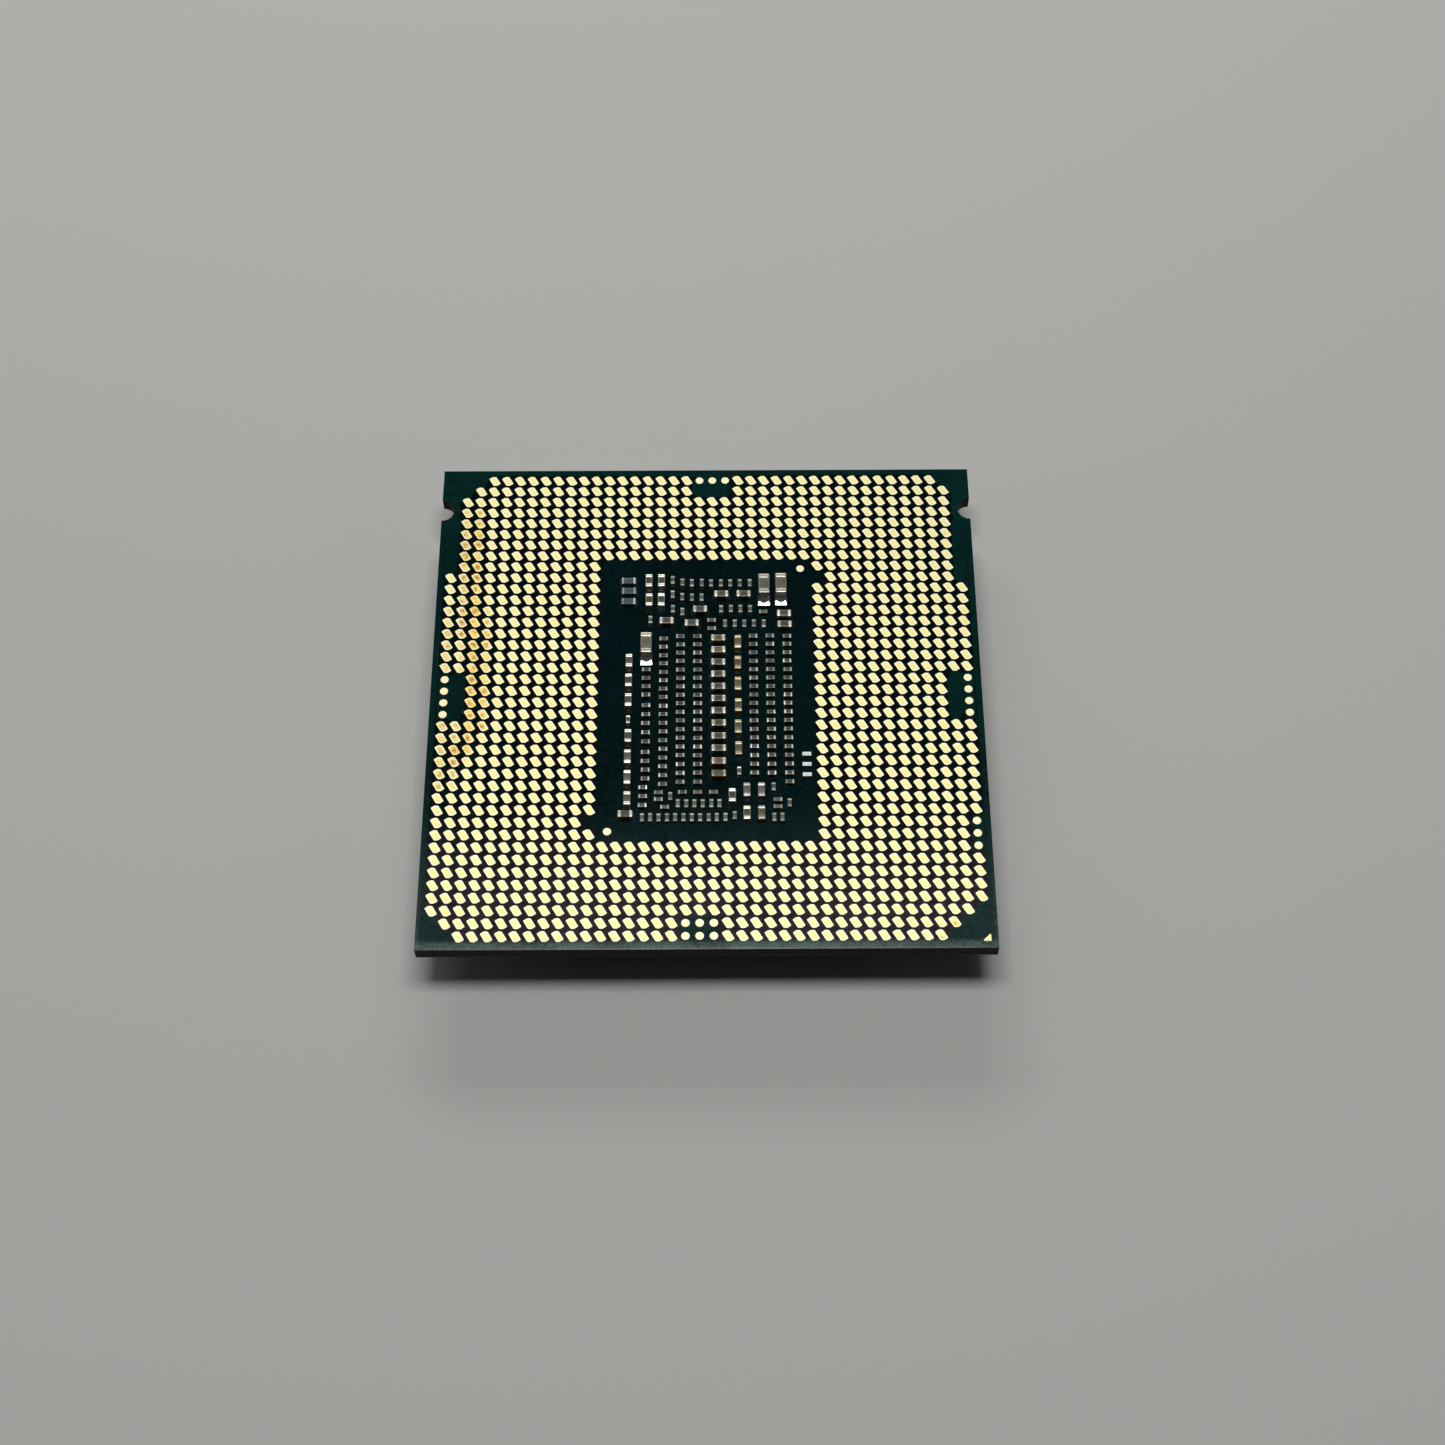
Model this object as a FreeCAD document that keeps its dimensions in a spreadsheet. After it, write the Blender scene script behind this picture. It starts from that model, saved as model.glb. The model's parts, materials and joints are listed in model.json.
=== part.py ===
import FreeCAD, Part
import os
import Sketcher

# A land-grid-array desktop processor, lying on its lid with the contact lands up.
# Frame: origin at the middle of the lid's heatsink face, +Z towards the lands,
# +X right, +Y towards the end that carries the two key notches. Millimetres.

V = FreeCAD.Vector
doc = FreeCAD.newDocument("Processor")


# ---------------------------------------------------------------- dimensions

DIMENSIONS = [
    ("substrate_side", 37.5, "package substrate, square"),
    ("core_thickness", 0.76, "glass-epoxy core"),
    ("buildup_thickness", 0.15, "build-up dielectric, each side"),
    ("plane_thickness", 0.03, "copper plane, each side of the core"),
    ("plane_inset", 1.6, "copper plane's edge to the substrate's edge"),
    ("mask_thickness", 0.02, "solder mask, each side"),
    ("notch_radius", 0.88, "half-round key notch"),
    ("notch_offset", 15.35, "key notch centre along Y"),
    ("via_pitch", 3.6576, "every fourth land"),
    ("via_radius", 0.15, "plated through via"),
    ("via_rows", 9, "vias along each side"),
    ("land_pitch", 0.9144, "contact land grid"),
    ("land_rows", 40, "grid positions along each side"),
    ("land_thickness", 0.02, "plated copper land"),
    ("window_rows", 25, "grid rows that the chip parts' window takes"),
    ("land_long_x", 0.42, "half width of a land at its two far corners"),
    ("land_long_y", 0.20, "those corners above and below the centre"),
    ("land_flat_left", 0.17, "upper flat, left end"),
    ("land_flat_right", 0.08, "upper flat, right end"),
    ("land_flat_y", 0.385, "upper flat above the centre"),
    ("test_land_radius", 0.275, "round test land"),
    ("fiducial_radius", 0.27, "round alignment mark"),
    ("marker_side", 0.56, "pin-one triangle"),
    ("marker_inset", 0.48, "pin-one triangle's corner to the substrate's edges"),
    ("bar_length", 0.60, "printed bar along X"),
    ("bar_width", 0.28, "printed bar along Y"),
    ("bar_step", 0.78, "printed bar to printed bar"),
    ("bars_x", 6.72, "middle printed bar"),
    ("bars_y", -5.3, "middle printed bar"),
    ("print_thickness", 0.01, "printed ink"),
    ("lid_height", 3.13, "heat spreader, heatsink face to rim"),
    ("lid_step", 1.15, "heatsink face down to the load ears"),
    ("plateau_width", 28.4, "raised heatsink face along X"),
    ("plateau_depth", 30.6, "raised heatsink face along Y"),
    ("skirt_width", 30.2, "rim around the plateau along X"),
    ("skirt_depth", 32.4, "rim around the plateau along Y"),
    ("ear_width", 34.0, "over the two load ears"),
    ("ear_depth", 16.6, "load ear along Y"),
    ("cavity_width", 23.6, "hollow over the die along X"),
    ("cavity_depth_y", 25.4, "hollow over the die along Y"),
    ("cavity_height", 0.73, "rim to the hollow's ceiling"),
    ("corner_round", 1.6, "plateau and skirt corners"),
    ("cavity_round", 1.2, "hollow's corners"),
    ("ear_round", 0.8, "ear corners"),
    ("edge_round", 0.3, "edge of the heatsink face"),
    ("bead_thickness", 0.15, "lid adhesive"),
    ("bead_width", 2.1, "lid adhesive"),
    ("bead_inset", 0.5, "lid adhesive behind the skirt's edge"),
    ("vent_width", 2.4, "gap left in the adhesive"),
    ("die_width", 9.2, "silicon die along X"),
    ("die_depth", 13.6, "silicon die along Y"),
    ("die_thickness", 0.70, "silicon die"),
    ("bump_height", 0.07, "solder bump"),
    ("bump_radius", 0.05, "solder bump"),
    ("bump_pitch", 0.85, "solder bumps as drawn"),
    ("underfill_run", 0.9, "underfill beyond the die at its foot"),
    ("underfill_lip", 0.05, "underfill beyond the die at its top"),
    ("underfill_climb", 0.4, "underfill up the die's side"),
    ("paste_overhang", 0.4, "thermal compound beyond the die"),
    ("solder_thickness", 0.02, "solder under a chip part's terminal"),
    ("solder_climb", 0.55, "solder up a terminal's end, as a share of its height"),
    ("ceramic_inset", 0.01, "ceramic below the terminal's faces"),
]

# Chip part sizes. The toe is the solder's run beyond the terminal.
CHIP_FIELDS = ("length", "width", "height", "terminal", "toe")
CHIP_SIZES = {
    "small": (0.60, 0.30, 0.30, 0.15, 0.08),
    "medium": (1.00, 0.50, 0.50, 0.25, 0.14),
    "large": (1.60, 0.80, 0.80, 0.36, 0.54),
    "flat": (1.00, 0.50, 0.34, 0.20, 0.12),
}
for size, values in CHIP_SIZES.items():
    for field, value in zip(CHIP_FIELDS, values):
        DIMENSIONS.append((f"{size}_{field}", value, f"{size} chip part's {field}"))

sheet = doc.addObject("Spreadsheet::Sheet", "Dimensions")
for row, (alias, value, note) in enumerate(DIMENSIONS, start=1):
    sheet.set(f"A{row}", note)
    sheet.set(f"B{row}", str(value))
    sheet.setAlias(f"B{row}", alias)
doc.recompute()


def dim(alias):
    """A driving dimension's value."""
    return float(sheet.get(alias))


def cell(alias):
    """A driving dimension's name in an expression."""
    return f"Dimensions.{alias}"


# Heights above the heatsink face, as expressions that add up the stack.
DIE_SIDE = f"({cell('lid_height')} + {cell('bead_thickness')})"
CORE_BOTTOM = f"({DIE_SIDE} + {cell('mask_thickness')} + {cell('buildup_thickness')})"
CORE_TOP = f"({CORE_BOTTOM} + {cell('core_thickness')})"
MASK_TOP_BASE = f"({CORE_TOP} + {cell('buildup_thickness')})"
LAND_SIDE = f"({MASK_TOP_BASE} + {cell('mask_thickness')})"
DIE_TOP = f"({DIE_SIDE} - {cell('bump_height')})"
DIE_BACK = f"({DIE_TOP} - {cell('die_thickness')})"
CEILING = f"({cell('lid_height')} - {cell('cavity_height')})"

# The same heights as numbers, for the pieces that Part's functions build.
die_side = dim("lid_height") + dim("bead_thickness")
core_bottom = die_side + dim("mask_thickness") + dim("buildup_thickness")
land_side = core_bottom + dim("core_thickness") + dim("buildup_thickness") + dim("mask_thickness")
half_side = dim("substrate_side") / 2
pitch = dim("land_pitch")

TINY = 1e-6  # lengths closer than this, in mm, are the same
VOLUME_SLACK = 0.01  # cubic mm that a cut's volume may differ by

sub_parts = []


def keep(piece, label):
    """Make an object one of the sub-parts under its own label."""
    piece.Label = label
    sub_parts.append(piece)
    return piece


# ---------------------------------------------------------------- helpers

def plate(name, width, depth, thickness, bottom):
    """A centred Part::Box whose sizes and height follow expressions."""
    box = doc.addObject("Part::Box", name)
    box.setExpression("Length", width)
    box.setExpression("Width", depth)
    box.setExpression("Height", thickness)
    box.setExpression("Placement.Base.x", f"-({width}) / 2")
    box.setExpression("Placement.Base.y", f"-({depth}) / 2")
    box.setExpression("Placement.Base.z", bottom)
    return box


def cut(name, base, tool):
    """Base minus tool."""
    result = doc.addObject("Part::Cut", name)
    result.Base = base
    result.Tool = tool
    return result


def group(label, solids):
    """Many separate solids as one sub-part."""
    piece = doc.addObject("Part::Feature", label)
    piece.Shape = Part.makeCompound(solids)
    piece.Placement = FreeCAD.Placement()
    return keep(piece, label)


def block(length, width, height, centre, bottom):
    """A solid box about a plan centre."""
    corner = V(centre[0] - length / 2, centre[1] - width / 2, bottom)
    return Part.makeBox(length, width, height, corner)


def prism(points, height):
    """A solid prism over a closed outline."""
    face = Part.Face(Part.makePolygon(points + points[:1]))
    return face.extrude(V(0, 0, height))


def origin_plane(body, role):
    """One of a body's own origin planes."""
    return next(f for f in body.Origin.OriginFeatures if f.Role == role)


def flat_sketch(body, name, lift):
    """A sketch parallel to the body's XY plane at a height given by an expression."""
    sketch = body.newObject("Sketcher::SketchObject", name)
    sketch.AttachmentSupport = (origin_plane(body, "XY_Plane"), [""])
    sketch.MapMode = "FlatFace"
    sketch.setExpression("AttachmentOffset.Base.z", lift)
    return sketch


def draw_rectangle(sketch, width, depth):
    """A rectangle centred on the sketch's origin, driven by two expressions."""
    corners = [V(-1, -1, 0), V(1, -1, 0), V(1, 1, 0), V(-1, 1, 0)]
    first = sketch.GeometryCount
    for k in range(4):
        sketch.addGeometry(Part.LineSegment(corners[k], corners[(k + 1) % 4]), False)
    for k in range(4):
        end_to_start = (first + k, 2, first + (k + 1) % 4, 1)
        sketch.addConstraint(Sketcher.Constraint("Coincident", *end_to_start))
    for k in (0, 2):
        sketch.addConstraint(Sketcher.Constraint("Horizontal", first + k))
        sketch.addConstraint(Sketcher.Constraint("Vertical", first + k + 1))
    sketch.addConstraint(Sketcher.Constraint("Symmetric", first, 1, first + 2, 1, -1, 1))
    across = sketch.addConstraint(Sketcher.Constraint("DistanceX", first, 1, first, 2, 2.0))
    along = sketch.addConstraint(Sketcher.Constraint("DistanceY", first + 1, 1, first + 1, 2, 2.0))
    sketch.setExpression(f"Constraints[{across}]", width)
    sketch.setExpression(f"Constraints[{along}]", depth)


def upright_edges(shape, half_width, half_depth):
    """Names of the upright edges that stand at the four corners of a rectangle."""
    names = []
    for number, edge in enumerate(shape.Edges, start=1):
        foot, head = edge.Vertexes[0].Point, edge.Vertexes[-1].Point
        upright = abs(foot.x - head.x) < TINY and abs(foot.y - head.y) < TINY
        at_corner = abs(abs(foot.x) - half_width) < TINY and abs(abs(foot.y) - half_depth) < TINY
        if upright and at_corner:
            names.append(f"Edge{number}")
    return names


def round_edges(body, name, base, edges, radius):
    """A PartDesign fillet on named edges."""
    fillet = body.newObject("PartDesign::Fillet", name)
    fillet.Base = (base, edges)
    fillet.setExpression("Radius", radius)
    body.Tip = fillet
    doc.recompute()
    return fillet


# ---------------------------------------------------------------- heat spreader

def heat_spreader():
    """The stamped lid: plateau, lower skirt with two load ears, and the hollow over the die."""
    body = doc.addObject("PartDesign::Body", "HeatSpreader")
    height = cell("lid_height")
    lower = f"{cell('lid_height')} - {cell('lid_step')}"
    steps = [
        ("Plateau", "plateau_width", "plateau_depth", "0", height),
        ("Skirt", "skirt_width", "skirt_depth", cell("lid_step"), lower),
        ("Ears", "ear_width", "ear_depth", cell("lid_step"), lower),
    ]
    for name, width, depth, lift, thickness in steps:
        sketch = flat_sketch(body, name + "Outline", lift)
        draw_rectangle(sketch, cell(width), cell(depth))
        doc.recompute()
        pad = body.newObject("PartDesign::Pad", name)
        pad.Profile = sketch
        pad.setExpression("Length", thickness)
        body.Tip = pad
        doc.recompute()
    solid_volume = pad.Shape.Volume

    sketch = flat_sketch(body, "CavityOutline", height)
    draw_rectangle(sketch, cell("cavity_width"), cell("cavity_depth_y"))
    doc.recompute()
    pocket = body.newObject("PartDesign::Pocket", "Cavity")
    pocket.Profile = sketch
    pocket.setExpression("Length", cell("cavity_height"))
    body.Tip = pocket
    doc.recompute()
    hollow = dim("cavity_width") * dim("cavity_depth_y") * dim("cavity_height")
    assert abs(solid_volume - pocket.Shape.Volume - hollow) < VOLUME_SLACK, "the cavity was not cut"

    tip = pocket
    corners = [
        ("PlateauCorners", "plateau_width", "plateau_depth", "corner_round"),
        ("SkirtCorners", "skirt_width", "skirt_depth", "corner_round"),
        ("EarCorners", "ear_width", "ear_depth", "ear_round"),
        ("CavityCorners", "cavity_width", "cavity_depth_y", "cavity_round"),
    ]
    for name, width, depth, radius in corners:
        edges = upright_edges(tip.Shape, dim(width) / 2, dim(depth) / 2)
        tip = round_edges(body, name, tip, edges, cell(radius))
    rim = []
    for number, edge in enumerate(tip.Shape.Edges, start=1):
        if edge.BoundBox.ZMax < TINY:
            rim.append(f"Edge{number}")
    round_edges(body, "PlateauEdge", tip, rim, cell("edge_round"))
    return keep(body, "heat_spreader")


def lid_adhesive():
    """The bead under the lid's rim, with the gap that vents the hollow."""
    body = doc.addObject("PartDesign::Body", "LidAdhesive")
    outer_width = f"{cell('skirt_width')} - 2 * {cell('bead_inset')}"
    outer_depth = f"{cell('skirt_depth')} - 2 * {cell('bead_inset')}"
    sketch = flat_sketch(body, "BeadOutline", cell("lid_height"))
    draw_rectangle(sketch, outer_width, outer_depth)
    inner_width = f"{outer_width} - 2 * {cell('bead_width')}"
    inner_depth = f"{outer_depth} - 2 * {cell('bead_width')}"
    draw_rectangle(sketch, inner_width, inner_depth)
    doc.recompute()
    bead = body.newObject("PartDesign::Pad", "Bead")
    bead.Profile = sketch
    bead.setExpression("Length", cell("bead_thickness"))
    body.Tip = bead
    doc.recompute()
    whole = bead.Shape.Volume

    across = flat_sketch(body, "VentOutline", f"{cell('lid_height')} + {cell('bead_thickness')}")
    across.setExpression("AttachmentOffset.Base.y", f"-({outer_depth} - {cell('bead_width')}) / 2")
    draw_rectangle(across, cell("vent_width"), f"2 * {cell('bead_width')}")
    doc.recompute()
    vent = body.newObject("PartDesign::Pocket", "Vent")
    vent.Profile = across
    vent.setExpression("Length", cell("bead_thickness"))
    body.Tip = vent
    doc.recompute()
    gap = dim("vent_width") * dim("bead_width") * dim("bead_thickness")
    assert abs(whole - vent.Shape.Volume - gap) < VOLUME_SLACK, "the vent was not cut"
    return keep(body, "lid_adhesive")


# ---------------------------------------------------------------- substrate

def notch_cutters():
    """Two upright cylinders that cut the half-round key notches out of every layer."""
    pair = []
    for name, sign in (("NotchLeft", "-"), ("NotchRight", "")):
        tool = doc.addObject("Part::Cylinder", name)
        tool.setExpression("Radius", cell("notch_radius"))
        tool.setExpression("Height", f"2 * {LAND_SIDE}")
        tool.setExpression("Placement.Base.x", f"{sign}{cell('substrate_side')} / 2")
        tool.setExpression("Placement.Base.y", cell("notch_offset"))
        pair.append(tool)
    both = doc.addObject("Part::MultiFuse", "NotchCutters")
    both.Shapes = pair
    return both


def laminate(label, thickness, bottom, notches):
    """One full-size layer of the substrate, notched at both sides."""
    side = cell("substrate_side")
    return cut(label, plate(label + "_sheet", side, side, thickness, bottom), notches)


def copper_plane(label, bottom):
    """A solid copper plane, held back from the substrate's edges."""
    side = f"{cell('substrate_side')} - 2 * {cell('plane_inset')}"
    return plate(label, side, side, cell("plane_thickness"), bottom)


def via_centres():
    """Plan centres of the vias that join the two planes through the core."""
    count = int(dim("via_rows"))
    middle = (count - 1) / 2
    step = dim("via_pitch")
    return [((i - middle) * step, (j - middle) * step) for i in range(count) for j in range(count)]


def substrate():
    """Mask, build-up, copper, core, copper, build-up, mask."""
    notches = notch_cutters()
    vias = []
    for x, y in via_centres():
        vias.append(Part.makeCylinder(dim("via_radius"), dim("core_thickness"), V(x, y, core_bottom)))
    via_group = group("core_vias", vias)

    film = cell("mask_thickness")
    buildup = cell("buildup_thickness")
    copper = cell("plane_thickness")
    keep(laminate("solder_mask_die_side", film, DIE_SIDE, notches), "solder_mask_die_side")
    power_plane = copper_plane("power_plane", f"{CORE_BOTTOM} - {copper}")
    ground_plane = copper_plane("ground_plane", CORE_TOP)
    lower = laminate("LowerBuildup", buildup, f"{CORE_BOTTOM} - {buildup}", notches)
    upper = laminate("UpperBuildup", buildup, CORE_TOP, notches)
    core = laminate("CoreSheet", cell("core_thickness"), CORE_BOTTOM, notches)
    keep(cut("buildup_die_side", lower, power_plane), "buildup_die_side")
    keep(power_plane, "power_plane")
    keep(cut("substrate_core", core, via_group), "substrate_core")
    keep(ground_plane, "ground_plane")
    keep(cut("buildup_land_side", upper, ground_plane), "buildup_land_side")
    keep(laminate("solder_mask_land_side", film, MASK_TOP_BASE, notches), "solder_mask_land_side")


# ---------------------------------------------------------------- contact lands

# Spans of columns, 1 at the left, that carry contact lands; the rows run from
# 1 at the front, the end away from the notches, to 40 at the back.
LAND_ROWS = [
    (1, 1, [(3, 18), (22, 37)]),
    (2, 2, [(2, 18), (22, 38)]),
    (3, 3, [(1, 39)]),
    (4, 7, [(1, 40)]),
    (8, 8, [(1, 39)]),
    (9, 9, [(1, 12), (29, 39)]),
    (10, 10, [(1, 11), (29, 39)]),
    (11, 18, [(1, 12), (29, 40)]),
    (19, 22, [(3, 12), (29, 38)]),
    (23, 30, [(1, 12), (29, 40)]),
    (31, 31, [(1, 12), (30, 39)]),
    (32, 32, [(2, 12), (29, 39)]),
    (33, 38, [(2, 39)]),
    (39, 39, [(3, 19), (23, 39)]),
    (40, 40, [(4, 19), (23, 38)]),
]
# Rows and spans of columns that carry round test lands.
TEST_ROWS = [
    (1, 2, [(19, 21)]),
    (8, 10, [(40, 40)]),
    (19, 22, [(1, 1), (40, 40)]),
    (40, 40, [(20, 22)]),
]
# Plan centres of the round alignment marks at two corners of the chip parts' window.
ALIGNMENT_MARKS = [(6.58, 10.28), (-6.55, -10.30)]


def grid_point(column, row):
    """Plan centre of a grid position."""
    middle = (dim("land_rows") + 1) / 2
    return (column - middle) * pitch, (row - middle) * pitch


def grid_centres(rows):
    """Plan centres of every position that a table of rows names."""
    centres = []
    for first, last, spans in rows:
        for row in range(first, last + 1):
            for left, right in spans:
                centres += [grid_point(column, row) for column in range(left, right + 1)]
    return centres


def land_outline():
    """The six corners of a contact land about its own centre; it maps to itself when half turned."""
    half = [
        (-dim("land_long_x"), dim("land_long_y")),
        (-dim("land_flat_left"), dim("land_flat_y")),
        (dim("land_flat_right"), dim("land_flat_y")),
    ]
    return half + [(-x, -y) for x, y in half]


def contact_lands():
    """The contact lands in four groups by where they lie around the chip parts' window."""
    outline = [V(x, y, land_side) for x, y in land_outline()]
    land = prism(outline, dim("land_thickness"))
    window = dim("window_rows") / 2 * pitch
    groups = {"lands_back": [], "lands_front": [], "lands_left": [], "lands_right": []}
    for x, y in grid_centres(LAND_ROWS):
        if y > window:
            name = "lands_back"
        elif y < -window:
            name = "lands_front"
        else:
            name = "lands_left" if x < 0 else "lands_right"
        groups[name].append(land.translated(V(x, y, 0)))
    for name, solids in groups.items():
        group(name, solids)
    return sum(len(solids) for solids in groups.values())


def discs(label, radius, centres):
    """Round flat lands."""
    thickness = dim("land_thickness")
    group(label, [Part.makeCylinder(radius, thickness, V(x, y, land_side)) for x, y in centres])


def pin_one_marker(label, bottom):
    """A right-angled triangle that points into the front right corner."""
    corner = half_side - dim("marker_inset")
    side = dim("marker_side")
    points = [
        V(corner - side, -corner, bottom),
        V(corner, -corner, bottom),
        V(corner, side - corner, bottom),
    ]
    group(label, [prism(points, dim("land_thickness"))])


def printed_bars():
    """Three plain bars in ink beside the chip parts, one behind another."""
    solids = []
    for k in (-1, 0, 1):
        centre = (dim("bars_x"), dim("bars_y") + k * dim("bar_step"))
        solids.append(block(dim("bar_length"), dim("bar_width"), dim("print_thickness"), centre, land_side))
    group("printed_bars", solids)


# ---------------------------------------------------------------- chip parts

def run(x, y, count=1, dx=0.0, dy=0.0):
    """Plan centres of a row or column of equally spaced parts."""
    return [(x + k * dx, y + k * dy) for k in range(count)]


# Each bank: name, size, parts that lie along X, parts that lie along Y.
BANKS = [
    (
        "resistors",
        "flat",
        run(-5.37, 9.13, 3, dy=-0.845),
        [],
    ),
    (
        "large_capacitors",
        "large",
        [],
        run(4.03, 8.58) + run(5.19, 8.62) + run(-4.11, 3.81),
    ),
    (
        "medium_capacitors_back",
        "medium",
        run(-2.74, 5.77) + run(-0.98, 5.57) + run(-0.41, 6.70) + run(1.05, 7.92, 2, dx=1.56)
        + run(5.39, 6.33, 2, dy=-0.87),
        run(-3.96, 9.05, 2, dy=-1.57) + run(-3.09, 9.05, 2, dy=-1.57),
    ),
    (
        "medium_capacitors_left",
        "medium",
        run(-5.37, -9.23),
        run(-5.27, 2.58, 3, dy=-1.565) + run(-5.27, -3.33, 4, dy=-1.573),
    ),
    (
        "medium_capacitors_centre",
        "medium",
        run(0.83, 4.36, 12, dy=-0.962),
        [],
    ),
    (
        "medium_capacitors_right",
        "medium",
        [],
        run(2.16, 4.04, 6, dy=-1.67),
    ),
    (
        "medium_capacitors_front",
        "medium",
        [],
        run(1.71, -7.85) + run(2.68, -7.46, 2, dx=0.97) + run(2.67, -9.16, 2, dx=0.98),
    ),
    (
        "small_capacitors_back",
        "small",
        run(0.38, 5.90, 2, dy=-0.68) + run(3.94, 6.56),
        run(-2.31, 9.20, 3, dy=-1.18) + run(-1.65, 9.02, 3, dy=-1.22)
        + run(-0.98, 8.95, 2, dy=-1.186) + run(-0.31, 8.95, 2, dy=-1.186)
        + run(0.36, 8.94, 5, dx=0.666) + run(1.03, 6.81, 4, dx=0.669)
        + run(1.30, 5.62, 5, dx=0.668) + run(-3.84, 5.95),
    ),
    (
        "small_capacitors_left",
        "small",
        run(-4.09, 1.94, 4, dy=-0.664) + run(-4.09, -0.87, 5, dy=-0.70)
        + run(-4.09, -4.50, 4, dy=-0.662) + run(-4.24, -7.17, 3, dy=-0.655)
        + run(-2.92, 4.41, 18, dy=-0.6663),
        run(-5.28, -1.95),
    ),
    (
        "small_capacitors_centre",
        "small",
        run(-1.757, 4.60, 18, dy=-0.668) + run(-0.593, 4.60, 18, dy=-0.668),
        run(2.18, -5.93),
    ),
    (
        "small_capacitors_right",
        "small",
        run(3.22, 4.60, 17, dy=-0.668) + run(4.37, 4.60, 17, dy=-0.668)
        + run(5.54, 4.60, 18, dy=-0.668),
        [],
    ),
    (
        "small_capacitors_front",
        "small",
        run(-3.18, -7.53, 2, dy=-0.53) + run(-2.76, -8.64) + run(-1.60, -7.52, 3, dx=1.03)
        + run(4.71, -8.09, 2, dy=-0.52),
        run(-1.886, -8.37, 6, dx=0.55) + run(-4.257, -9.41, 11, dx=0.549)
        + run(4.46, -9.41, 2, dx=0.54) + run(1.86, -9.26) + run(4.46, -7.14)
        + run(5.51, -8.34) + run(-2.40, -7.81),
    ),
]


def chip_master(size):
    """One chip part about the plan origin, along X: its ceramic, terminals and solder."""
    length, width, height, terminal, toe_run = [dim(f"{size}_{field}") for field in CHIP_FIELDS]
    inset = dim("ceramic_inset")
    lift = land_side + dim("solder_thickness")
    ceramic_length = length - 2 * terminal
    ceramic = block(ceramic_length, width - 2 * inset, height - 2 * inset, (0, 0), lift + inset)
    terminals = []
    solder = []
    for side in (-1, 1):
        centre = side * (length - terminal) / 2
        terminals.append(block(terminal, width, height, (centre, 0), lift))
        inner, outer = side * (length / 2 - terminal), side * length / 2
        toe = side * (length / 2 + toe_run)
        profile = [
            V(inner, -width / 2, land_side),
            V(toe, -width / 2, land_side),
            V(outer, -width / 2, lift + dim("solder_climb") * height),
            V(outer, -width / 2, lift),
            V(inner, -width / 2, lift),
        ]
        face = Part.Face(Part.makePolygon(profile + profile[:1]))
        solder.append(face.extrude(V(0, width, 0)))
    return [ceramic], terminals, solder


def place(solids, centre, turned):
    """Copies of a master's solids at a plan centre, turned to lie along Y or not."""
    copies = []
    for solid in solids:
        copy = solid.copy()
        if turned:
            copy.rotate(V(0, 0, 0), V(0, 0, 1), 90)
        copy.translate(V(centre[0], centre[1], 0))
        copies.append(copy)
    return copies


def chip_parts():
    """Every bank's ceramics and terminals, and the solder of each size."""
    solder_groups = {size: [] for size in CHIP_SIZES}
    count = 0
    for name, size, along_x, along_y in BANKS:
        ceramics, terminals = [], []
        ceramic, terminal, solder = chip_master(size)
        for centres, turned in ((along_x, False), (along_y, True)):
            for centre in centres:
                ceramics += place(ceramic, centre, turned)
                terminals += place(terminal, centre, turned)
                solder_groups[size] += place(solder, centre, turned)
                count += 1
        group(name + "_bodies", ceramics)
        group(name + "_terminals", terminals)
    for size, solids in solder_groups.items():
        group("solder_joints_" + size, solids)
    return count


# ---------------------------------------------------------------- die

def die_stack():
    """Bumps, underfill, die and thermal compound between the substrate and the lid."""
    columns = int(dim("die_width") / dim("bump_pitch"))
    rows = int(dim("die_depth") / dim("bump_pitch"))
    step = dim("bump_pitch")
    height = dim("bump_height")
    bumps = []
    for i in range(columns):
        for j in range(rows):
            x = (i - (columns - 1) / 2) * step
            y = (j - (rows - 1) / 2) * step
            bumps.append(Part.makeCylinder(dim("bump_radius"), height, V(x, y, die_side - height)))
    bump_group = group("solder_bumps", bumps)

    die = plate("silicon_die", cell("die_width"), cell("die_depth"), cell("die_thickness"), DIE_BACK)
    keep(die, "silicon_die")
    overhang = cell("paste_overhang")
    paste = plate(
        "thermal_compound",
        f"{cell('die_width')} + 2 * {overhang}",
        f"{cell('die_depth')} + 2 * {overhang}",
        f"{DIE_BACK} - {CEILING}",
        CEILING,
    )
    keep(paste, "thermal_compound")

    fillet = doc.addObject("PartDesign::Body", "UnderfillFillet")
    foot = flat_sketch(fillet, "UnderfillFoot", DIE_SIDE)
    run_out = cell("underfill_run")
    draw_rectangle(foot, f"{cell('die_width')} + 2 * {run_out}", f"{cell('die_depth')} + 2 * {run_out}")
    climb = flat_sketch(fillet, "UnderfillTop", f"{DIE_TOP} - {cell('underfill_climb')}")
    lip = cell("underfill_lip")
    draw_rectangle(climb, f"{cell('die_width')} + 2 * {lip}", f"{cell('die_depth')} + 2 * {lip}")
    doc.recompute()
    loft = fillet.newObject("PartDesign::AdditiveLoft", "UnderfillLoft")
    loft.Profile = foot
    loft.Sections = [climb]
    loft.Ruled = True
    fillet.Tip = loft
    doc.recompute()
    around_die = cut("UnderfillAroundDie", fillet, die)
    keep(cut("underfill", around_die, bump_group), "underfill")


# ---------------------------------------------------------------- build and write

heat_spreader()
lid_adhesive()
substrate()
die_stack()
land_count = contact_lands()
discs("test_lands", dim("test_land_radius"), grid_centres(TEST_ROWS))
discs("alignment_marks", dim("fiducial_radius"), ALIGNMENT_MARKS)
pin_one_marker("pin_one_marker_land_side", land_side)
pin_one_marker("pin_one_marker_die_side", die_side - dim("land_thickness"))
printed_bars()
chip_count = chip_parts()
doc.recompute()

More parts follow.
